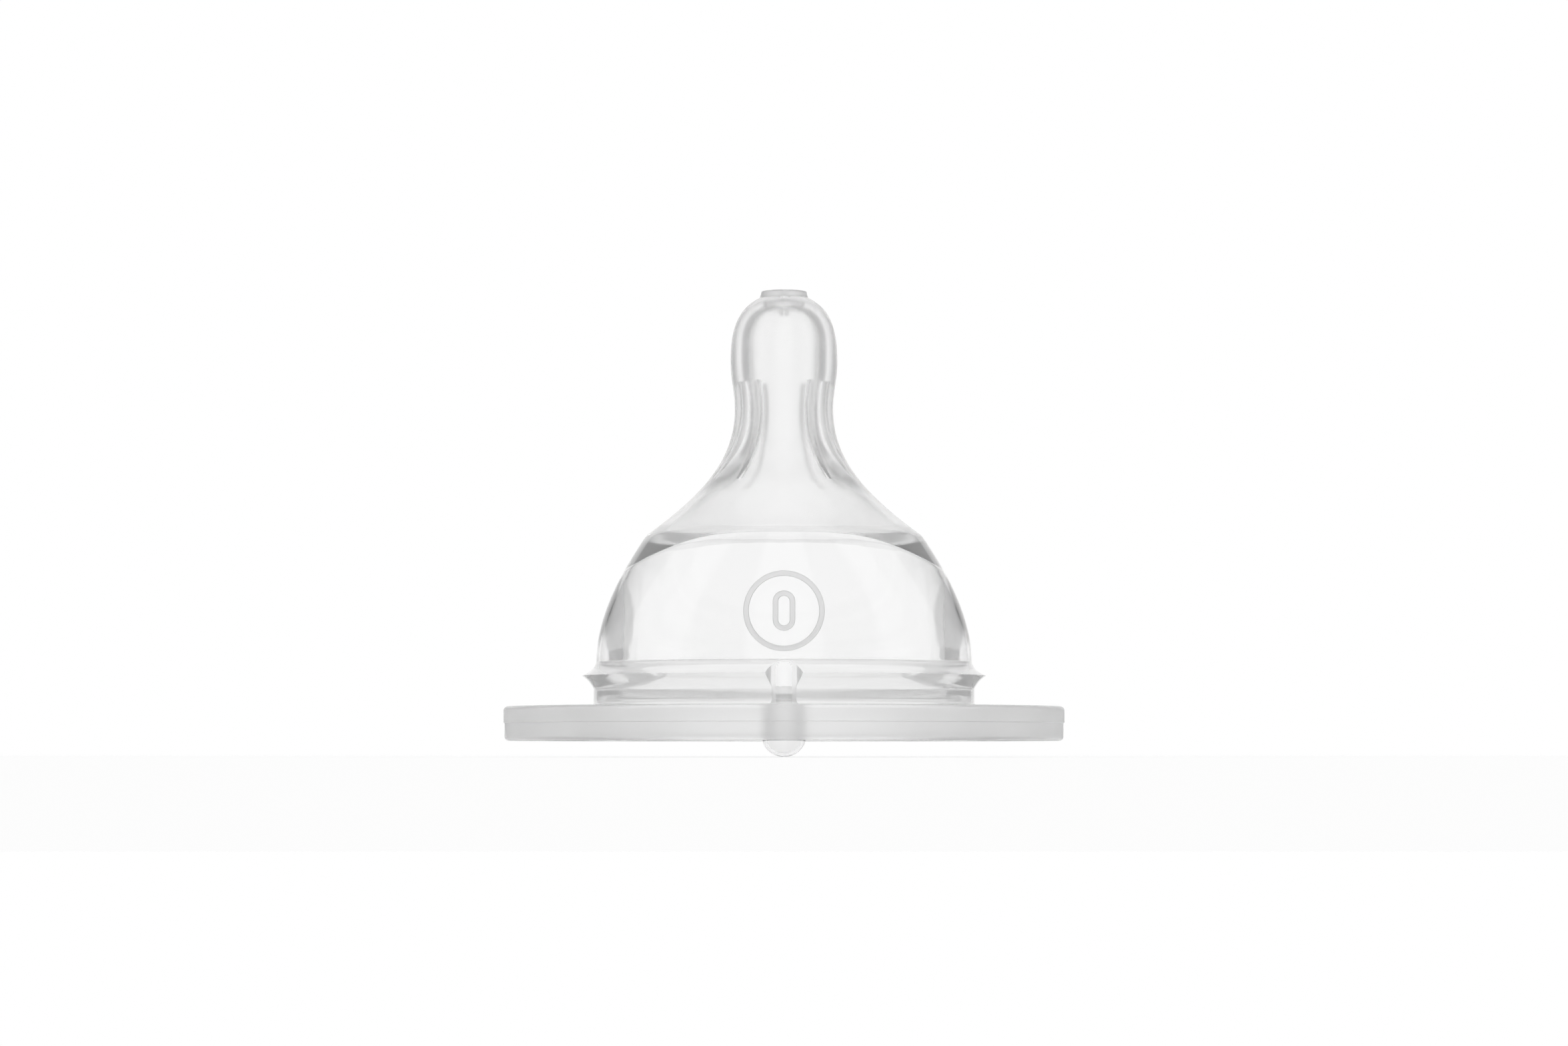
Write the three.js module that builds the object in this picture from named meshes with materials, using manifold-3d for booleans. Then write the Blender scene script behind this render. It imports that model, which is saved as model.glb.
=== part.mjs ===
// A wide-neck silicone teat for a feeding bottle, in millimetres, +Z up.
// The teat's axis is Z, its air vent faces -Y, and Z = 0 is the lowest point of the vent valve.
// Heights named below are measured from the flat underside of the flange.

import * as THREE from "three";
import { mergeVertices } from "three/addons/utils/BufferGeometryUtils.js";
import Module from "manifold-3d";

const wasm = await Module();
wasm.setup();

// Neck: the bottle's collar closes on it, and the widths above and below follow it
const neckRadius = 21.75;
const neckHeight = 2.0;
const neckWall = 2.85;
const neckFillet = 0.55;
const footRadius = neckRadius + neckFillet;

// Flange: the disc that the collar presses onto the bottle's rim
const flangeReach = 10.25;
const flangeRadius = neckRadius + flangeReach;
const flangeThickness = 3.9;
const flangeCorner = 0.5;
const partingDrop = 1.9;
const partingStep = 0.12;

// Bead: the ring that snaps through the collar's hole
const beadReach = 1.35;
const beadLowRise = 1.52;
const beadHighRise = 1.58;
const beadHollowLow = 0.62;
const beadHollowHigh = 0.58;
const beadHollowReach = 0.35;
const beadRadius = neckRadius + beadReach;
const beadRootLow = flangeThickness + neckHeight;
const beadHeight = beadRootLow + beadLowRise;
const beadRootHigh = beadHeight + beadHighRise;

// Dome: clear wall from the bead to the shoulder
const domeInset = 0.3;
const domeHeight = 14.4;
const domeSpring = 5.2;
const shoulderInset = 5.65;
const shoulderPull = 5.0;
const domeTopLean = THREE.MathUtils.degToRad(34);
const domeRadius = neckRadius - domeInset;
const shoulderRadius = domeRadius - shoulderInset;
const shoulderHeight = beadRootHigh + domeHeight;

// Hollow of the dome: a nearly straight bore, an elbow, and a slope that follows the flare
const mouthFlare = 0.3;
const boreTopDrop = 11;
const elbowInset = 1.2;
const elbowDrop = 4.7;
const elbowStepInset = 3.4;
const elbowStepDrop = 2.8;
const shoulderWall = 2.5;
const boreRadius = neckRadius - neckWall;
const mouthRadius = boreRadius + mouthFlare;
const boreTopHeight = shoulderHeight - boreTopDrop;
const elbowRadius = boreRadius - elbowInset;
const elbowHeight = shoulderHeight - elbowDrop;
const elbowStepRadius = boreRadius - elbowStepInset;
const elbowStepHeight = shoulderHeight - elbowStepDrop;
const shoulderInnerRadius = shoulderRadius - shoulderWall;

// Flare, shaft and head, outside
const flareHeight = 14.5;
const flareRise = THREE.MathUtils.degToRad(36);
const flarePull = 7.5;
const waistRadius = 5.64;
const waistPullLow = 6.0;
const waistPullHigh = 2.2;
const headSwell = 0.49;
const headRise = 5.6;
const headPullLow = 2.2;
const headPullHigh = 4.2;
const tipRadius = 2.75;
const tipRise = 7.25;
const tipPull = 2.5;
const tipLean = THREE.MathUtils.degToRad(25);
const headRadius = waistRadius + headSwell;
const waistHeight = shoulderHeight + flareHeight;
const headHeight = waistHeight + headRise;
const tipHeight = headHeight + tipRise;

// Tip: a low rim round a shallow recess, with the feeding hole in its middle
const rimRise = 0.75;
const rimStep = 0.13;
const rimCorner = 0.15;
const rimWidth = 0.75;
const recessDepth = 0.2;
const feedHoleRadius = 0.2;
const bossWall = 0.35;
const bossLength = 0.8;
const rimHeight = tipHeight + rimRise;
const rimRadius = tipRadius - rimStep;
const recessRadius = rimRadius - rimWidth;
const bossRadius = feedHoleRadius + bossWall;

// Hollow of the flare, the shaft and the head
const flareInnerReach = 3.36;
const flareInnerDrop = 8.1;
const throatTurnReach = 0.98;
const throatTurnDrop = 6.7;
const throatReach = 0.63;
const throatDrop = 5.4;
const shaftWall = 2.17;
const headWall = 2.14;
const tipWall = 1.25;
const roofRise = 4.1;
const roofPull = 2.3;
const shaftBoreRadius = waistRadius - shaftWall;
const headBoreRadius = headRadius - headWall;
const roofHeight = tipHeight - tipWall;
const roofSpring = roofHeight - roofRise;

// Grooves inside the shaft, which let it flex without closing
const grooveWidth = 0.8;
const grooveWall = 1.2;
const grooveTopRise = 3.25;
const grooveEndDrop = 8.6;
const grooveStep = THREE.MathUtils.degToRad(36);
const groovesPerQuarter = 2;

// Air vent: a channel down the neck, a hole through the flange and a thin slit valve under it
const ventRadius = 2.1;
const ventReach = 1.55;
const ventTopRise = 0.9;
const valveDepth = 1.85;
const valveLap = 0.28;
const valveWall = 0.4;
const slitLength = 1.5;
const slitWidth = 0.15;
const ventPlace = neckRadius + ventReach;
const ventTopHeight = beadRootHigh + ventTopRise;
const valveRadius = ventRadius + valveLap;

// Flow mark: a raised ring with a zero in it, on the front of the dome
const markRise = 5.27;
const markRadius = 4.5;
const markStroke = 0.55;
const markProud = 0.12;
const markRoot = 0.3;
const zeroWidth = 2.5;
const zeroHeight = 4.5;
const markHeight = beadRootHigh + markRise;

// One length by which a cutter runs past what it cuts
const overrun = 1;

// Counts of facets
const turns = 48;
const smallTurns = 20;
const curveSteps = 6;
const fineSteps = 4;
const cornerSteps = 3;

const underside = valveDepth;

// A path's points, each curve in it cut into the given number of steps
function pointsOf(path, steps) {
  return path.getPoints(steps);
}

// One list from several that each start where the last one ended
function joined(...stretches) {
  return stretches.flatMap((stretch, i) => (i === 0 ? stretch : stretch.slice(1)));
}

// A solid of revolution about Z from a closed profile of radius and height
function revolved(profile, segments) {
  const closed = [...profile, profile[0].clone()];
  return new THREE.LatheGeometry(closed, segments).rotateX(Math.PI / 2);
}

// A geometry as a manifold solid
function solidOf(geometry) {
  const bare = geometry.index ? geometry.toNonIndexed() : geometry.clone();
  bare.deleteAttribute("normal");
  bare.deleteAttribute("uv");
  const merged = mergeVertices(bare);
  const mesh = new wasm.Mesh({
    numProp: 3,
    vertProperties: merged.attributes.position.array,
    triVerts: new Uint32Array(merged.index.array),
  });
  return new wasm.Manifold(mesh);
}

// A manifold solid as a geometry
function geometryOf(solid) {
  const mesh = solid.getMesh();
  const geometry = new THREE.BufferGeometry();
  geometry.setAttribute("position", new THREE.BufferAttribute(mesh.vertProperties, mesh.numProp));
  geometry.setIndex(new THREE.BufferAttribute(mesh.triVerts, 1));
  return geometry;
}

// Outer surface of the dome, upwards from the top of the bead to the shoulder
function domeOutside() {
  const pull = new THREE.Vector2(Math.sin(domeTopLean), -Math.cos(domeTopLean)).multiplyScalar(shoulderPull);
  const path = new THREE.Path();
  path.moveTo(domeRadius, underside + beadRootHigh);
  path.bezierCurveTo(
    domeRadius, underside + beadRootHigh + domeSpring,
    shoulderRadius + pull.x, underside + shoulderHeight + pull.y,
    shoulderRadius, underside + shoulderHeight,
  );
  return pointsOf(path, curveSteps * 2);
}

// Outer surface of the foot inside the flange, the neck and the bead, upwards from the underside
function neckOutside() {
  const flangeTop = underside + flangeThickness;
  const edge = underside + beadHeight;
  const path = new THREE.Path();
  path.moveTo(footRadius, underside);
  path.lineTo(footRadius, flangeTop);
  path.absarc(footRadius, flangeTop + neckFillet, neckFillet, -Math.PI / 2, -Math.PI, true);
  path.lineTo(neckRadius, underside + beadRootLow);
  path.quadraticCurveTo(neckRadius + beadHollowReach, edge - beadHollowLow, beadRadius, edge);
  path.quadraticCurveTo(
    domeRadius + beadHollowReach / 2, edge + beadHollowHigh, domeRadius, underside + beadRootHigh,
  );
  return pointsOf(path, fineSteps);
}

// Wall of the hollow in the dome, downwards from the shoulder to the mouth
function domeInside() {
  const path = new THREE.Path();
  path.moveTo(shoulderInnerRadius, underside + shoulderHeight);
  path.lineTo(elbowStepRadius, underside + elbowStepHeight);
  path.lineTo(elbowRadius, underside + elbowHeight);
  path.quadraticCurveTo(
    boreRadius, underside + (elbowHeight + boreTopHeight) / 2, boreRadius, underside + boreTopHeight,
  );
  path.lineTo(mouthRadius, underside + flangeThickness);
  path.lineTo(mouthRadius, underside);
  return pointsOf(path, fineSteps);
}

// Outer surface of the flare, the shaft and the head, upwards from the shoulder to the tip
function nippleOutside() {
  const flare = new THREE.Vector2(-Math.cos(flareRise), Math.sin(flareRise)).multiplyScalar(flarePull);
  const tip = new THREE.Vector2(Math.cos(tipLean), -Math.sin(tipLean)).multiplyScalar(tipPull);
  const path = new THREE.Path();
  path.moveTo(shoulderRadius, underside + shoulderHeight);
  path.bezierCurveTo(
    shoulderRadius + flare.x, underside + shoulderHeight + flare.y,
    waistRadius, underside + waistHeight - waistPullLow,
    waistRadius, underside + waistHeight,
  );
  path.bezierCurveTo(
    waistRadius, underside + waistHeight + waistPullHigh,
    headRadius, underside + headHeight - headPullLow,
    headRadius, underside + headHeight,
  );
  path.bezierCurveTo(
    headRadius, underside + headHeight + headPullHigh,
    tipRadius + tip.x, underside + tipHeight + tip.y,
    tipRadius, underside + tipHeight,
  );
  return pointsOf(path, curveSteps);
}

// Rim and recess at the tip, inwards to the feeding hole
function tipOutside() {
  const top = underside + rimHeight;
  const path = new THREE.Path();
  path.moveTo(tipRadius, underside + tipHeight);
  path.lineTo(rimRadius, top - rimCorner);
  path.lineTo(rimRadius - rimCorner, top);
  path.lineTo(recessRadius, top);
  path.lineTo(recessRadius - recessDepth, top - recessDepth);
  path.lineTo(feedHoleRadius, top - recessDepth);
  return pointsOf(path, 1);
}

// Wall of the hollow in the nipple, downwards from the feeding hole to the shoulder
function nippleInside() {
  const roof = underside + roofHeight;
  const waist = underside + waistHeight;
  const path = new THREE.Path();
  path.moveTo(feedHoleRadius, roof - bossLength);
  path.lineTo(bossRadius, roof - bossLength);
  path.lineTo(bossRadius, roof);
  path.bezierCurveTo(
    bossRadius + roofPull, roof,
    headBoreRadius, underside + roofSpring + roofPull,
    headBoreRadius, underside + roofSpring,
  );
  path.lineTo(headBoreRadius, underside + headHeight);
  path.bezierCurveTo(
    headBoreRadius, underside + headHeight - headPullLow,
    shaftBoreRadius, waist + waistPullHigh,
    shaftBoreRadius, waist,
  );
  path.quadraticCurveTo(
    shaftBoreRadius, waist - throatDrop / 2, shaftBoreRadius + throatReach, waist - throatDrop,
  );
  path.quadraticCurveTo(
    shaftBoreRadius + throatTurnReach, waist - throatTurnDrop,
    shaftBoreRadius + flareInnerReach, waist - flareInnerDrop,
  );
  path.lineTo(shoulderInnerRadius, underside + shoulderHeight);
  return pointsOf(path, fineSteps);
}

// Radius of a profile at a height, between its points
function radiusAt(profile, height) {
  const i = profile.findIndex((p, k) => k > 0 && p.y >= height);
  const [a, b] = [profile[i - 1], profile[i]];
  return THREE.MathUtils.mapLinear(height, a.y, b.y, a.x, b.x);
}

// One groove's cutter, whose floor leaves a wall of even width under the outer surface
function grooveCutter() {
  const outside = nippleOutside();
  const shape = new THREE.Shape();
  const low = underside + waistHeight - grooveEndDrop;
  const high = underside + waistHeight + grooveTopRise;
  shape.moveTo(shaftBoreRadius / 2, low);
  for (let i = 0; i <= curveSteps; i++) {
    const height = THREE.MathUtils.lerp(low, high, i / curveSteps);
    shape.lineTo(radiusAt(outside, height) - grooveWall, height);
  }
  shape.lineTo(shaftBoreRadius / 2, high);
  const cutter = new THREE.ExtrudeGeometry(shape, { depth: grooveWidth, bevelEnabled: false });
  return cutter.translate(0, 0, -grooveWidth / 2).rotateX(Math.PI / 2);
}

// Nipple: the frosted upper part that the baby sucks, with the grooves in its shaft
function nippleGeometry() {
  const profile = joined(nippleOutside(), tipOutside());
  let solid = solidOf(revolved([...profile, ...nippleInside()], turns));
  for (const front of [-Math.PI / 2, Math.PI / 2]) {
    for (const side of [-1, 1]) {
      for (let i = 1; i <= groovesPerQuarter; i++) {
        const cutter = grooveCutter().rotateZ(front + side * i * grooveStep);
        solid = solid.subtract(solidOf(cutter));
      }
    }
  }
  return geometryOf(solid);
}

// The vent's channel, which runs out in a round end above the bead
function ventCutter() {
  const path = new THREE.Path();
  path.moveTo(ventRadius, underside - overrun);
  path.lineTo(ventRadius, underside + ventTopHeight - ventRadius);
  path.absarc(0, underside + ventTopHeight - ventRadius, ventRadius, 0, Math.PI / 2, false);
  const profile = [new THREE.Vector2(0, underside - overrun), ...pointsOf(path, cornerSteps * 2)];
  const cutter = new THREE.LatheGeometry(profile, smallTurns).rotateX(Math.PI / 2);
  return solidOf(cutter.translate(0, -ventPlace, 0));
}

// An outline of the given width and height with round ends
function stadium(Path, width, height) {
  const r = width / 2;
  const rise = height / 2 - r;
  const path = new Path();
  path.moveTo(r, -rise);
  path.lineTo(r, rise);
  path.absarc(0, rise, r, 0, Math.PI, false);
  path.lineTo(-r, -rise);
  path.absarc(0, -rise, r, Math.PI, 2 * Math.PI, false);
  return path;
}

// A closed band of the mark's stroke inside an outline, pushed out of the front
function markBand(width, height) {
  const shape = stadium(THREE.Shape, width, height);
  shape.holes.push(stadium(THREE.Path, width - 2 * markStroke, height - 2 * markStroke));
  const band = new THREE.ExtrudeGeometry(shape, {
    depth: 2 * domeRadius,
    bevelEnabled: false,
    curveSegments: curveSteps * 2,
  });
  return solidOf(band.rotateX(Math.PI / 2).translate(0, 0, underside + markHeight));
}

// Ring and zero, kept to a skin that stands proud of the dome
function flowMark() {
  const outside = domeOutside();
  const skin = outside.map((p) => new THREE.Vector2(p.x + markProud, p.y));
  const root = outside.map((p) => new THREE.Vector2(p.x - markRoot, p.y)).reverse();
  const shell = solidOf(revolved([...skin, ...root], turns));
  const bands = markBand(2 * markRadius, 2 * markRadius).add(markBand(zeroWidth, zeroHeight));
  return bands.intersect(shell);
}

// Dome: the clear lower part with its foot, neck and bead, the vent's channel and the flow mark
function domeGeometry() {
  const profile = [...joined(neckOutside(), domeOutside()), ...domeInside()];
  const solid = solidOf(revolved(profile, turns)).add(flowMark());
  return geometryOf(solid.subtract(ventCutter()));
}

// Flange: a frosted ring round the foot, with a parting line on its edge and the vent's hole in it
function flangeGeometry() {
  const top = underside + flangeThickness;
  const low = flangeRadius - partingStep;
  const path = new THREE.Path();
  path.moveTo(footRadius, underside);
  path.lineTo(low - flangeCorner, underside);
  path.absarc(low - flangeCorner, underside + flangeCorner, flangeCorner, -Math.PI / 2, 0, false);
  path.lineTo(low, top - partingDrop);
  path.lineTo(flangeRadius, top - partingDrop);
  path.lineTo(flangeRadius, top - flangeCorner);
  path.absarc(flangeRadius - flangeCorner, top - flangeCorner, flangeCorner, 0, Math.PI / 2, false);
  path.lineTo(footRadius, top);
  const solid = solidOf(revolved(pointsOf(path, cornerSteps), turns));
  return geometryOf(solid.subtract(ventCutter()));
}

// Vent valve: a thin cup under the flange's hole, with a slit in its lowest point
function valveGeometry() {
  const sphere = (valveRadius ** 2 + valveDepth ** 2) / (2 * valveDepth);
  const inner = sphere - valveWall;
  const rise = sphere - valveDepth;
  const path = new THREE.Path();
  path.moveTo(0, 0);
  path.absarc(0, sphere, sphere, -Math.PI / 2, -Math.asin(rise / sphere), false);
  path.absarc(0, sphere, inner, -Math.asin(rise / inner), -Math.PI / 2, true);
  const cup = new THREE.LatheGeometry(pointsOf(path, curveSteps), smallTurns).rotateX(Math.PI / 2);
  const slit = new THREE.BoxGeometry(slitLength, slitWidth, 2 * (valveWall + slitWidth));
  return geometryOf(solidOf(cup).subtract(solidOf(slit)));
}

// Frosted silicone, where the mould is etched
function frostedSilicone() {
  return new THREE.MeshStandardMaterial({
    color: 0xdfe1e1,
    roughness: 0.55,
    metalness: 0,
    transparent: true,
    opacity: 0.75,
  });
}

// Clear silicone, where the mould is polished
function clearSilicone() {
  return new THREE.MeshStandardMaterial({
    color: 0xf2f4f4,
    roughness: 0.12,
    metalness: 0,
    transparent: true,
    opacity: 0.35,
  });
}

// A named mesh
function piece(name, geometry, material) {
  const mesh = new THREE.Mesh(geometry, material);
  mesh.name = name;
  return mesh;
}

const teat = new THREE.Group();
teat.add(piece("nipple", nippleGeometry(), frostedSilicone()));
teat.add(piece("dome", domeGeometry(), clearSilicone()));
teat.add(piece("flange", flangeGeometry(), frostedSilicone()));

const valve = piece("vent_valve", valveGeometry(), clearSilicone());
valve.position.set(0, -ventPlace, 0);
teat.add(valve);

export default teat;
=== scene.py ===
"""Looks of a wide-neck silicone teat: clear dome, frosted nipple and flange, and the studio round it."""

import math

import bpy
import numpy as np
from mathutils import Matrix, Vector


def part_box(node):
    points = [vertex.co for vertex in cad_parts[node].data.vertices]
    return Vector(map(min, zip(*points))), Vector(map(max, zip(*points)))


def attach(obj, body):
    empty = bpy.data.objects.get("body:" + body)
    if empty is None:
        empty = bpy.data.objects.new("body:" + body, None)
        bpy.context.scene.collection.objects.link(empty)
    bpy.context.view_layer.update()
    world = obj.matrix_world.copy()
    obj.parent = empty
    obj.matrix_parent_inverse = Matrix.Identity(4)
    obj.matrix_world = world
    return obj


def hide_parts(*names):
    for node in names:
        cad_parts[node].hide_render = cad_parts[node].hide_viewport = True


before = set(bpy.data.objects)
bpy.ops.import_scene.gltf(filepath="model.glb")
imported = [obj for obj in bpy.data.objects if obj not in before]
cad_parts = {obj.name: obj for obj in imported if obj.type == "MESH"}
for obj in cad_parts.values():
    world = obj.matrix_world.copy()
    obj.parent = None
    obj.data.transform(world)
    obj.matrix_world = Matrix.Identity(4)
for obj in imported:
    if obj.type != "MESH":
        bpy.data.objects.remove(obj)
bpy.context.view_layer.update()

# Lengths below are in millimetres, and heights are measured from the flange's flat underside.
MM = 0.001

flange_low, flange_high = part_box("flange")
UNDERSIDE = flange_low.z / MM
FLANGE_RADIUS = flange_high.x / MM
FLANGE_THICKNESS = (flange_high.z - flange_low.z) / MM
FLANGE_CORNER = 0.5
PARTING_HEIGHT = 2.0
PARTING_STEP = 0.12
MOUTH_RADIUS = 19.2
MOUTH_ROUND = 0.3

NECK_RADIUS = 21.75
NECK_FILLET = 0.55
BEAD_RADIUS = 23.1
BEAD_HEIGHT = 7.42
BEAD_ROOT_LOW = 5.9
BEAD_ROOT_HIGH = 9.0

DOME_RADIUS = 21.45
SHOULDER_RADIUS = 15.8
SHOULDER_HEIGHT = 23.4

BORE_RADIUS = 18.5
BORE_TOP = 9.5
FLARE_END = (13.36, 23.48)
WAIST_RADIUS = 5.64
WAIST_HEIGHT = 37.9
HEAD_RADIUS = 6.13
HEAD_HEIGHT = 43.5
TIP_RADIUS = 2.75
TIP_HEIGHT = 50.75
RIM_HEIGHT = 51.5
ROOF_HEIGHT = 49.5
HOLE_RADIUS = 0.2
BOSS_RADIUS = 0.55

GROOVE_WIDTH = 0.6
GROOVE_WALL = 1.45
GROOVE_TOP = 41.15
GROOVE_END = 29.3
GROOVE_ANGLES = [math.radians(a) for a in (40, 76, 104, 140, 220, 256, 284, 320)]

VENT_RADIUS = 2.1
VENT_PLACE = 23.3
VENT_TOP = 9.9

MARK_HEIGHT = 14.27
MARK_RADIUS = 4.5
MARK_STROKE = 0.62
MARK_PROUD = 0.12
ZERO_WIDTH = 2.5
ZERO_HEIGHT = 4.5

# Facets round the body, how quickly the inner crease falls at the sides, and where the milky step is
COLUMNS = 240
SIDE_POWER = 4
STEP_LOW = 18.5
STEP_TILT = 0.62

# Finishes, as places in the body's list of materials
CLEAR, FROSTED, FLANGE, MARK, STEP, BEAD = range(6)

# Heights between which the frosted nipple's roughness rises
HAZE_LOW = 27
HAZE_HIGH = 34

# Light panels, in degrees round the object, the world's level of light between them, and the floor's painted
# glow between them and under the mouth
PANEL_STEP = 90
PANEL_HALF = 25
PANEL_BLUR = 2
STUDIO_GREY = 0.45
FLOOR_GLOW_BETWEEN = 0.6
FLOOR_GLOW_UNDER_MOUTH = 0.9

# The photograph's width and the flange's in pixels, and the flange's width in millimetres
PICTURE_PIXELS = 2351
FLANGE_PIXELS = 839
FLANGE_WIDTH = 64


def line(a, b, steps):
    """Points from a to b, without b."""
    t = np.linspace(0, 1, steps, endpoint=False)[:, None]
    return np.array(a) * (1 - t) + np.array(b) * t


def curve(a, b, c, d, steps):
    """Points on a cubic curve from a to d, without d."""
    t = np.linspace(0, 1, steps, endpoint=False)[:, None]
    a, b, c, d = map(np.array, (a, b, c, d))
    return a * (1 - t) ** 3 + 3 * b * t * (1 - t) ** 2 + 3 * c * t**2 * (1 - t) + d * t**3


def bend(a, b, c, steps):
    """Points on a quadratic curve from a to c, without c."""
    t = np.linspace(0, 1, steps, endpoint=False)[:, None]
    a, b, c = map(np.array, (a, b, c))
    return a * (1 - t) ** 2 + 2 * b * t * (1 - t) + c * t**2


def arc(centre, radius, start, end, steps):
    """Points on an arc, angles in degrees, without its last point."""
    t = np.radians(np.linspace(start, end, steps, endpoint=False))
    return np.array(centre) + radius * np.stack([np.cos(t), np.sin(t)], axis=1)


def flange_outside():
    """Underside, edge with its parting line, and top, as radius and height."""
    low = FLANGE_RADIUS - PARTING_STEP
    top = FLANGE_THICKNESS
    corner = FLANGE_CORNER
    return [
        line((MOUTH_RADIUS + MOUTH_ROUND, 0), (low - corner, 0), 8),
        arc((low - corner, corner), corner, -90, 0, 6),
        line((low, corner), (low, PARTING_HEIGHT), 5),
        line((low, PARTING_HEIGHT), (FLANGE_RADIUS, PARTING_HEIGHT + 0.06), 1),
        line((FLANGE_RADIUS, PARTING_HEIGHT + 0.06), (FLANGE_RADIUS, top - corner), 4),
        arc((FLANGE_RADIUS - corner, top - corner), corner, 0, 90, 6),
        line((FLANGE_RADIUS - corner, top), (NECK_RADIUS + NECK_FILLET, top), 6),
    ]


def neck_outside():
    """Fillet, neck and bead up to the dome."""
    foot = NECK_RADIUS + NECK_FILLET
    return [
        arc((foot, FLANGE_THICKNESS + NECK_FILLET), NECK_FILLET, 270, 180, 6),
        line((NECK_RADIUS, FLANGE_THICKNESS + NECK_FILLET), (NECK_RADIUS, BEAD_ROOT_LOW), 5),
        bend((NECK_RADIUS, BEAD_ROOT_LOW), (NECK_RADIUS + 0.35, 6.8), (BEAD_RADIUS, BEAD_HEIGHT), 10),
        bend((BEAD_RADIUS, BEAD_HEIGHT), (DOME_RADIUS + 0.17, 8.0), (DOME_RADIUS, BEAD_ROOT_HIGH), 10),
    ]


def dome_outside():
    """Dome up to the shoulder."""
    lean = math.radians(34)
    pull = 5.0
    shoulder = (SHOULDER_RADIUS, SHOULDER_HEIGHT)
    return [
        curve(
            (DOME_RADIUS, BEAD_ROOT_HIGH),
            (DOME_RADIUS, BEAD_ROOT_HIGH + 5.2),
            (SHOULDER_RADIUS + pull * math.sin(lean), SHOULDER_HEIGHT - pull * math.cos(lean)),
            shoulder,
            40,
        )
    ]


def nipple_outside():
    """Flare, shaft and head up to the tip's rim."""
    rise = math.radians(36)
    flare = 7.5
    lean = math.radians(25)
    tip = 2.5
    return [
        curve(
            (SHOULDER_RADIUS, SHOULDER_HEIGHT),
            (SHOULDER_RADIUS - flare * math.cos(rise), SHOULDER_HEIGHT + flare * math.sin(rise)),
            (WAIST_RADIUS, WAIST_HEIGHT - 6.0),
            (WAIST_RADIUS, WAIST_HEIGHT),
            40,
        ),
        curve(
            (WAIST_RADIUS, WAIST_HEIGHT),
            (WAIST_RADIUS, WAIST_HEIGHT + 2.2),
            (HEAD_RADIUS, HEAD_HEIGHT - 2.2),
            (HEAD_RADIUS, HEAD_HEIGHT),
            14,
        ),
        curve(
            (HEAD_RADIUS, HEAD_HEIGHT),
            (HEAD_RADIUS, HEAD_HEIGHT + 4.2),
            (TIP_RADIUS + tip * math.cos(lean), TIP_HEIGHT - tip * math.sin(lean)),
            (TIP_RADIUS, TIP_HEIGHT),
            26,
        ),
    ]


def tip_outside():
    """Rim, recess and feeding hole down to the boss inside."""
    rim = 2.62
    recess = 1.87
    corner = 0.18
    depth = 0.2
    floor = RIM_HEIGHT - depth
    boss_end = ROOF_HEIGHT - 0.8
    boss_edge = ROOF_HEIGHT - 0.7
    return [
        line((TIP_RADIUS, TIP_HEIGHT), (rim, RIM_HEIGHT - corner), 3),
        arc((rim - corner, RIM_HEIGHT - corner), corner, 0, 90, 5),
        line((rim - corner, RIM_HEIGHT), (recess, RIM_HEIGHT), 2),
        line((recess, RIM_HEIGHT), (recess - depth, floor), 2),
        line((recess - depth, floor), (HOLE_RADIUS, floor), 5),
        line((HOLE_RADIUS, floor), (HOLE_RADIUS, boss_end), 4),
        line((HOLE_RADIUS, boss_end), (BOSS_RADIUS, boss_edge), 2),
        line((BOSS_RADIUS, boss_edge), (BOSS_RADIUS, ROOF_HEIGHT), 3),
    ]


def nipple_inside():
    """Roof, head, shaft and throat down to the shoulder."""
    head = 3.99
    spring = 45.4
    shaft = 3.47
    shaft_end = (shaft, 37.7)
    throat_end = (9.65, 27.0)
    return [
        curve((BOSS_RADIUS, ROOF_HEIGHT), (2.85, ROOF_HEIGHT), (head, spring + 2.3), (head, spring), 20),
        line((head, spring), (head, HEAD_HEIGHT), 4),
        curve((head, HEAD_HEIGHT), (head, 41.3), (shaft, 39.9), shaft_end, 14),
        curve(shaft_end, (shaft, 32.2), (6.2, 30.62), throat_end, 30),
        bend(throat_end, (11.48, 25.08), FLARE_END, 16),
    ]


def dome_inside(crease, turn):
    """Hollow of the dome: the flare runs on to a crease, and the wall turns down to the mouth."""
    return [
        line(FLARE_END, crease, 14),
        bend(crease, turn, (BORE_RADIUS, BORE_TOP), 24),
        line((BORE_RADIUS, BORE_TOP), (MOUTH_RADIUS, FLANGE_THICKNESS), 8),
        line((MOUTH_RADIUS, FLANGE_THICKNESS), (MOUTH_RADIUS, MOUTH_ROUND), 4),
        arc((MOUTH_RADIUS + MOUTH_ROUND, MOUTH_ROUND), MOUTH_ROUND, 180, 270, 5),
    ]


def outside_profile():
    """The whole outer line, from the mouth's edge round to the tip."""
    return np.concatenate(flange_outside() + neck_outside() + dome_outside() + nipple_outside())


def moulding_rows():
    """The closed section at the sides and at the front, row by row."""
    shared = [outside_profile(), *tip_outside(), *nipple_inside()]
    side = np.concatenate(shared + dome_inside(crease=(17.4, 18.9), turn=(18.25, 15.5)))
    front = np.concatenate(shared + dome_inside(crease=(14.2, 22.85), turn=(BORE_RADIUS, 16.8)))
    return side, front


def mesh_object(name, vertices, faces):
    """A mesh object from points in millimetres."""
    mesh = bpy.data.meshes.new(name)
    mesh.from_pydata([tuple(v) for v in np.asarray(vertices) * MM], [], faces)
    mesh.update()
    thing = bpy.data.objects.new(name, mesh)
    bpy.context.scene.collection.objects.link(thing)
    return thing


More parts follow.
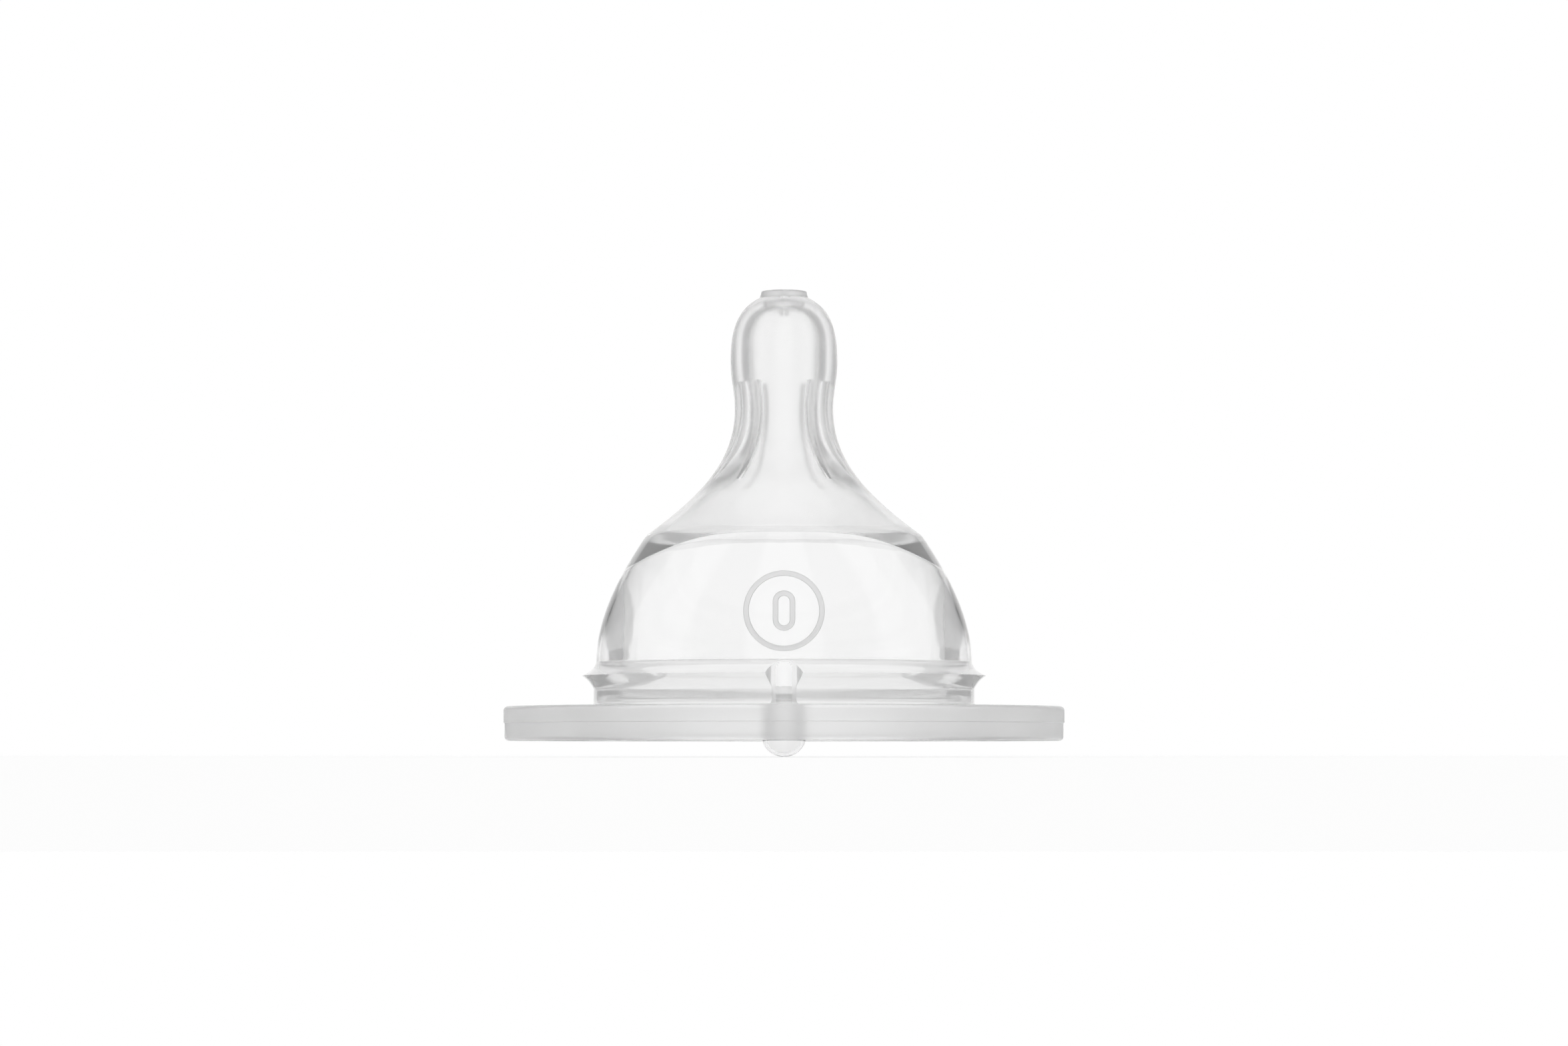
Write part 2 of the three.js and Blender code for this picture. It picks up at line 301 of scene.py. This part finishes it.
def ring_faces(rows, columns, close_rows):
    """Quads over a grid that closes round its columns and, if asked, round its rows."""
    last = rows if close_rows else rows - 1
    faces = []
    for i in range(last):
        low, high = i * columns, ((i + 1) % rows) * columns
        for j in range(columns):
            k = (j + 1) % columns
            faces.append((low + j, low + k, high + k, high + j))
    return faces


def moulding():
    """The silicone body as one closed surface, whose inner crease is low at the sides only."""
    side, front = moulding_rows()
    angle = np.linspace(0, 2 * math.pi, COLUMNS, endpoint=False)
    share = 1 - np.abs(np.sin(angle))[None, :, None] ** SIDE_POWER
    points = side[:, None, :] * (1 - share) + front[:, None, :] * share
    radius, height = points[..., 0], points[..., 1] + UNDERSIDE
    place = np.stack([radius * np.sin(angle), -radius * np.cos(angle), height], axis=-1)
    return mesh_object("silicone_teat", place.reshape(-1, 3), ring_faces(len(side), COLUMNS, True))


def groove_cutters():
    """Eight narrow blades that leave an even wall under the shaft's outer surface."""
    outline = outside_profile()
    rising = outline[np.argmax(outline[:, 0]):]
    heights = np.linspace(GROOVE_END, GROOVE_TOP, 30)
    floor = np.interp(heights, rising[:, 1], rising[:, 0]) - GROOVE_WALL
    vertices, faces = [], []
    for angle in GROOVE_ANGLES:
        out = np.array([math.sin(angle), -math.cos(angle), 0])
        across = np.array([math.cos(angle), math.sin(angle), 0]) * GROOVE_WIDTH / 2
        first = len(vertices)
        for radius, height in zip(floor, heights):
            up = np.array([0, 0, height + UNDERSIDE])
            inner = out * 1.7 + up
            outer = out * radius + up
            vertices += [inner - across, inner + across, outer + across, outer - across]
        count = len(heights)
        for i in range(count - 1):
            a, b = first + 4 * i, first + 4 * (i + 1)
            for j in range(4):
                k = (j + 1) % 4
                faces.append((a + k, a + j, b + j, b + k))
        end = first + 4 * (count - 1)
        faces.append((first, first + 1, first + 2, first + 3))
        faces.append((end + 3, end + 2, end + 1, end))
    return mesh_object("groove_cutters", vertices, faces)


def lathe(name, profile, columns, centre):
    """A closed solid of revolution whose profile starts and ends on its axis."""
    inner = profile[1:-1]
    angle = np.linspace(0, 2 * math.pi, columns, endpoint=False)
    x = centre[0] + inner[:, :1] * np.sin(angle)
    y = centre[1] - inner[:, :1] * np.cos(angle)
    z = np.repeat(inner[:, 1:], columns, axis=1)
    vertices = np.stack([x, y, z], axis=-1).reshape(-1, 3).tolist()
    faces = ring_faces(len(inner), columns, False)
    bottom, top = len(vertices), len(vertices) + 1
    vertices += [[centre[0], centre[1], profile[0][1]], [centre[0], centre[1], profile[-1][1]]]
    last = (len(inner) - 1) * columns
    for j in range(columns):
        k = (j + 1) % columns
        faces.append((bottom, k, j))
        faces.append((last + j, last + k, top))
    return mesh_object(name, vertices, faces)


def vent_cutter():
    """The vent's channel down the neck and its hole through the flange."""
    spring = UNDERSIDE + VENT_TOP - VENT_RADIUS
    profile = np.concatenate([
        [(0, UNDERSIDE - 1), (VENT_RADIUS, UNDERSIDE - 1)],
        arc((0, spring), VENT_RADIUS, 0, 90, 16),
        [(0, spring + VENT_RADIUS)],
    ])
    return lathe("vent_cutter", profile, 72, (0, -VENT_PLACE))


def cut(target, tool, operation):
    """Joins the tool to the target, or cuts it out, and deletes the tool."""
    step = target.modifiers.new("cut", "BOOLEAN")
    step.object = tool
    step.operation = operation
    step.solver = "MANIFOLD"
    bpy.context.view_layer.update()
    mesh = bpy.data.meshes.new_from_object(target.evaluated_get(bpy.context.evaluated_depsgraph_get()))
    target.modifiers.clear()
    old = target.data
    target.data = mesh
    bpy.data.meshes.remove(old)
    bpy.data.objects.remove(tool)


def dome_radius(height):
    """Outer radius of the dome at a height."""
    outline = np.concatenate(dome_outside())
    return np.interp(height, outline[:, 1], outline[:, 0])


def raised_line(path):
    """A low rounded ridge along a closed path of x and height on the front of the dome."""
    half = MARK_STROKE / 2
    root = -0.25
    top_share = 0.45
    round_share = 0.8
    section = [
        (-half, root),
        (half, root),
        (half, 0.0),
        (half * round_share, round_share * MARK_PROUD),
        (half * top_share, MARK_PROUD),
        (-half * top_share, MARK_PROUD),
        (-half * round_share, round_share * MARK_PROUD),
        (-half, 0.0),
    ]
    path = np.array(path)
    ahead = np.roll(path, -1, axis=0) - np.roll(path, 1, axis=0)
    ahead /= np.linalg.norm(ahead, axis=1)[:, None]
    side = np.stack([ahead[:, 1], -ahead[:, 0]], axis=1)
    vertices = []
    for offset, proud in section:
        spot = path + side * offset
        radius = dome_radius(spot[:, 1]) + proud
        angle = np.arcsin(spot[:, 0] / radius)
        height = spot[:, 1] + UNDERSIDE
        vertices += np.stack([radius * np.sin(angle), -radius * np.cos(angle), height], axis=1).tolist()
    return vertices, ring_faces(len(section), len(path), True)


def stadium(width, height, steps):
    """A closed path with round ends about the mark's middle."""
    r = width / 2
    rise = height / 2 - r
    top = arc((0, MARK_HEIGHT + rise), r, 0, 180, steps)
    down = line((-r, MARK_HEIGHT + rise), (-r, MARK_HEIGHT - rise), steps) if rise else np.empty((0, 2))
    low = arc((0, MARK_HEIGHT - rise), r, 180, 360, steps)
    up = line((r, MARK_HEIGHT - rise), (r, MARK_HEIGHT + rise), steps) if rise else np.empty((0, 2))
    return np.concatenate([top, down, low, up])


def flow_mark():
    """The ring and the zero in it, as one mesh of two ridges."""
    ring, ring_quads = raised_line(stadium(2 * MARK_RADIUS - MARK_STROKE, 2 * MARK_RADIUS - MARK_STROKE, 64))
    zero, zero_quads = raised_line(stadium(ZERO_WIDTH - MARK_STROKE, ZERO_HEIGHT - MARK_STROKE, 20))
    shifted = [tuple(len(ring) + i for i in quad) for quad in zero_quads]
    return mesh_object("flow_mark", ring + zero, ring_quads + shifted)


def vent_cup():
    """The thin cup under the flange's hole."""
    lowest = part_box("vent_valve")[0].z / MM
    depth, edge, wall = UNDERSIDE - lowest, 2.38, 0.4
    sphere = (edge**2 + depth**2) / (2 * depth)
    inner = sphere - wall
    rise = sphere - depth
    middle = (0, lowest + sphere)
    turn = math.degrees(math.asin(rise / sphere))
    inner_turn = math.degrees(math.asin(rise / inner))
    profile = np.concatenate([
        arc(middle, sphere, -90, -turn, 24),
        [(math.sqrt(sphere**2 - rise**2), UNDERSIDE)],
        arc(middle, inner, -inner_turn, -90, 24),
        [(0, lowest + wall)],
    ])
    return lathe("vent_cup", profile, 72, (0, -VENT_PLACE))


def slit_cutter():
    """A thin blade through the cup's lowest point."""
    x, y, z = 0.75, 0.05, 0.6
    vertices = [(sx * x, sy * y - VENT_PLACE, sz * z) for sz in (-1, 1) for sy in (-1, 1) for sx in (-1, 1)]
    faces = [(0, 2, 3, 1), (4, 5, 7, 6), (0, 1, 5, 4), (2, 6, 7, 3), (0, 4, 6, 2), (1, 3, 7, 5)]
    return mesh_object("slit_cutter", vertices, faces)


def node(tree, kind, **values):
    """A shader node with its input or property values."""
    made = tree.nodes.new(kind)
    for name, value in values.items():
        setattr(made, name, value)
    return made


def silicone(name, colour, clear, roughness, bump_size, bump_depth, spread, sheen=0.0):
    """Refracting silicone, clear to a share. Its roughness is a pair, below and above the haze."""
    material = bpy.data.materials.new(name)
    material.use_nodes = True
    tree = material.node_tree
    shader = tree.nodes["Principled BSDF"]
    shader.inputs["Base Color"].default_value = (*colour, 1)
    shader.inputs["Transmission Weight"].default_value = clear
    shader.inputs["IOR"].default_value = 1.41
    shader.inputs["Sheen Weight"].default_value = sheen
    shader.inputs["Sheen Roughness"].default_value = 0.5
    shader.inputs["Sheen Tint"].default_value = (0.75, 0.75, 0.75, 1)
    coordinates = node(tree, "ShaderNodeTexCoord")
    grain = node(tree, "ShaderNodeTexNoise")
    grain.inputs["Scale"].default_value = 1 / (bump_size * MM)
    grain.inputs["Detail"].default_value = 3
    tree.links.new(coordinates.outputs["Object"], grain.inputs["Vector"])
    split = node(tree, "ShaderNodeSeparateXYZ")
    tree.links.new(coordinates.outputs["Object"], split.inputs["Vector"])
    rise = node(tree, "ShaderNodeMapRange")
    rise.inputs["From Min"].default_value = (UNDERSIDE + HAZE_LOW) * MM
    rise.inputs["From Max"].default_value = (UNDERSIDE + HAZE_HIGH) * MM
    rise.inputs["To Min"].default_value = roughness[0]
    rise.inputs["To Max"].default_value = roughness[1]
    tree.links.new(split.outputs["Z"], rise.inputs["Value"])
    vary = node(tree, "ShaderNodeMath", operation="MULTIPLY_ADD")
    vary.inputs[1].default_value = 2 * spread
    tree.links.new(grain.outputs["Fac"], vary.inputs[0])
    tree.links.new(rise.outputs["Result"], vary.inputs[2])
    tree.links.new(vary.outputs[0], shader.inputs["Roughness"])
    bump = node(tree, "ShaderNodeBump")
    bump.inputs["Strength"].default_value = 1.0
    bump.inputs["Distance"].default_value = bump_depth * MM
    tree.links.new(grain.outputs["Fac"], bump.inputs["Height"])
    tree.links.new(bump.outputs["Normal"], shader.inputs["Normal"])
    return material


def finish_of(point, normal):
    """The finish of a face of the body, from where it lies and how it tilts. The tip has the flange's."""
    radius = math.hypot(point.x, point.y) / MM
    height = point.z / MM - UNDERSIDE
    if height > TIP_HEIGHT:
        return FLANGE
    if height > SHOULDER_HEIGHT:
        outside = radius > np.interp(height, nipple_line[:, 1], nipple_line[:, 0]) - 0.1
        return FROSTED if outside or height > 50.4 and radius > 0.3 else CLEAR
    if height < FLANGE_THICKNESS + 0.01 and radius > NECK_RADIUS + NECK_FILLET:
        return FLANGE
    reach = MARK_RADIUS + 0.1
    marked = point.y < 0 and abs(point.x) / MM < reach and abs(height - MARK_HEIGHT) < reach
    if marked and radius > dome_radius(height) + 0.02:
        return MARK
    if radius > DOME_RADIUS - 0.05 and height < BEAD_ROOT_HIGH:
        return BEAD
    step = radius < dome_radius(height) - 0.3 and height > STEP_LOW and abs(normal.z) > STEP_TILT
    return STEP if step else CLEAR


def smooth(thing, degrees):
    """Smooth shading that stays crisp at edges sharper than an angle."""
    for face in thing.data.polygons:
        face.use_smooth = True
    thing.data.set_sharp_from_angle(angle=math.radians(degrees))


def teat():
    """The dressed moulding and its vent cup."""
    body = moulding()
    cut(body, groove_cutters(), "DIFFERENCE")
    cut(body, flow_mark(), "UNION")
    cut(body, vent_cutter(), "DIFFERENCE")
    body.data.materials.clear()
    for material in (
        silicone("silicone_clear", (1.0, 1.0, 1.0), 0.97, (0.02, 0.02), 2.5, 0.01, 0.015),
        silicone("silicone_frosted", (1.0, 1.0, 1.0), 0.96, (0.12, 0.22), 0.12, 0.001, 0.03, 0.8),
        silicone("silicone_flange", (1.0, 1.0, 1.0), 0.75, (0.42, 0.42), 0.12, 0.001, 0.03),
        silicone("silicone_mark", (0.75, 0.75, 0.75), 0.7, (0.5, 0.5), 0.12, 0.001, 0.03),
        silicone("silicone_step", (1.0, 1.0, 1.0), 0.8, (0.05, 0.05), 0.5, 0.004, 0.02),
        silicone("silicone_bead", (1.0, 1.0, 1.0), 0.6, (0.05, 0.05), 0.5, 0.004, 0.02),
    ):
        body.data.materials.append(material)
    for face in body.data.polygons:
        face.material_index = finish_of(face.center, face.normal)
    smooth(body, 32)
    cup = vent_cup()
    cut(cup, slit_cutter(), "DIFFERENCE")
    cup.data.materials.clear()
    cup.data.materials.append(body.data.materials[CLEAR])
    smooth(cup, 32)
    return body, cup


def panels(tree, direction, between):
    """The share of white light in four directions round the object, with a grey between them."""
    split = node(tree, "ShaderNodeSeparateXYZ")
    tree.links.new(direction, split.inputs["Vector"])
    turn = node(tree, "ShaderNodeMath", operation="ARCTAN2")
    tree.links.new(split.outputs["X"], turn.inputs[0])
    tree.links.new(split.outputs["Y"], turn.inputs[1])
    fold = node(tree, "ShaderNodeMath", operation="PINGPONG")
    fold.inputs[1].default_value = math.radians(PANEL_STEP / 2)
    tree.links.new(turn.outputs[0], fold.inputs[0])
    edge = node(tree, "ShaderNodeMapRange", interpolation_type="SMOOTHSTEP")
    edge.inputs["From Min"].default_value = math.radians(PANEL_HALF - PANEL_BLUR)
    edge.inputs["From Max"].default_value = math.radians(PANEL_HALF + PANEL_BLUR)
    edge.inputs["To Min"].default_value = 1.0
    edge.inputs["To Max"].default_value = between
    tree.links.new(fold.outputs[0], edge.inputs["Value"])
    return edge.outputs["Result"]


def world_light():
    """White for the camera and for diffuse light, and panels with grey between them for the silicone."""
    world = bpy.data.worlds.new("studio")
    bpy.context.scene.world = world
    world.use_nodes = True
    tree = world.node_tree
    tree.nodes.clear()
    out = node(tree, "ShaderNodeOutputWorld")
    shade = node(tree, "ShaderNodeBackground")
    shade.inputs["Color"].default_value = (1, 1, 1, 1)
    tree.links.new(shade.outputs["Background"], out.inputs["Surface"])
    place = node(tree, "ShaderNodeTexCoord")
    pattern = panels(tree, place.outputs["Generated"], STUDIO_GREY)
    seen = node(tree, "ShaderNodeLightPath")
    plain = node(tree, "ShaderNodeMath", operation="MAXIMUM")
    tree.links.new(seen.outputs["Is Camera Ray"], plain.inputs[0])
    tree.links.new(seen.outputs["Is Diffuse Ray"], plain.inputs[1])
    level = node(tree, "ShaderNodeMix", data_type="FLOAT")
    level.inputs[3].default_value = 1.0
    tree.links.new(plain.outputs[0], level.inputs[0])
    tree.links.new(pattern, level.inputs[2])
    tree.links.new(level.outputs[0], shade.inputs["Strength"])


def floor():
    """A white floor under the vent cup. Where it is seen through the silicone or in a reflection it glows
    with painted light instead: light panels with a grey glow between them, and an even glow under the mouth.
    """
    half = 2.0
    corners = [(-half, -half, 0), (half, -half, 0), (half, half, 0), (-half, half, 0)]
    mesh = bpy.data.meshes.new("floor")
    mesh.from_pydata(corners, [], [(0, 1, 2, 3)])
    thing = bpy.data.objects.new("floor", mesh)
    bpy.context.scene.collection.objects.link(thing)
    material = bpy.data.materials.new("floor_white_painted_glow")
    material.use_nodes = True
    tree = material.node_tree
    shader = tree.nodes["Principled BSDF"]
    shader.inputs["Base Color"].default_value = (1, 1, 1, 1)
    shader.inputs["Roughness"].default_value = 0.9
    shader.inputs["Specular IOR Level"].default_value = 0.0
    # Painted light: for rays through the silicone and reflected rays the floor glows, evenly under the mouth
    # and in light panels with grey between them beyond the flange
    glow = node(tree, "ShaderNodeEmission")
    glow.inputs["Color"].default_value = (1, 1, 1, 1)
    place = node(tree, "ShaderNodeTexCoord")
    away = node(tree, "ShaderNodeVectorMath", operation="LENGTH")
    tree.links.new(place.outputs["Object"], away.inputs[0])
    outer = node(tree, "ShaderNodeMapRange")
    outer.inputs["From Min"].default_value = MOUTH_RADIUS * MM
    outer.inputs["From Max"].default_value = FLANGE_RADIUS * MM
    tree.links.new(away.outputs["Value"], outer.inputs["Value"])
    level = node(tree, "ShaderNodeMix", data_type="FLOAT")
    level.inputs[2].default_value = FLOOR_GLOW_UNDER_MOUTH
    tree.links.new(outer.outputs["Result"], level.inputs[0])
    tree.links.new(panels(tree, place.outputs["Object"], FLOOR_GLOW_BETWEEN), level.inputs[3])
    tree.links.new(level.outputs[0], glow.inputs["Strength"])
    seen = node(tree, "ShaderNodeLightPath")
    through = node(tree, "ShaderNodeMath", operation="MAXIMUM")
    tree.links.new(seen.outputs["Is Transmission Ray"], through.inputs[0])
    tree.links.new(seen.outputs["Is Glossy Ray"], through.inputs[1])
    either = node(tree, "ShaderNodeMixShader")
    tree.links.new(through.outputs[0], either.inputs[0])
    tree.links.new(shader.outputs["BSDF"], either.inputs[1])
    tree.links.new(glow.outputs["Emission"], either.inputs[2])
    tree.links.new(either.outputs["Shader"], tree.nodes["Material Output"].inputs["Surface"])
    mesh.materials.append(material)


def camera():
    """The photograph's view: level with the flange's underside, from the front."""
    distance = 0.55
    eye_height = 0.0002
    aim_height = 0.02676
    picture_width = PICTURE_PIXELS * FLANGE_WIDTH / FLANGE_PIXELS * MM
    lens = bpy.data.cameras.new("camera")
    lens.sensor_width = 36
    lens.lens = lens.sensor_width * distance / picture_width
    lens.clip_start = 0.01
    thing = bpy.data.objects.new("camera", lens)
    bpy.context.scene.collection.objects.link(thing)
    thing.location = (0, -distance, eye_height)
    aim = Vector((0, 0, aim_height))
    thing.rotation_euler = (aim - thing.location).to_track_quat("-Z", "Y").to_euler()
    bpy.context.scene.camera = thing


nipple_line = np.concatenate(nipple_outside())
body, cup = teat()
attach(body, "root")
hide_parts("nipple", "dome", "flange")
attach(cup, "root")
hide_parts("vent_valve")
world_light()
floor()
camera()
bpy.context.scene.view_settings.view_transform = "Standard"
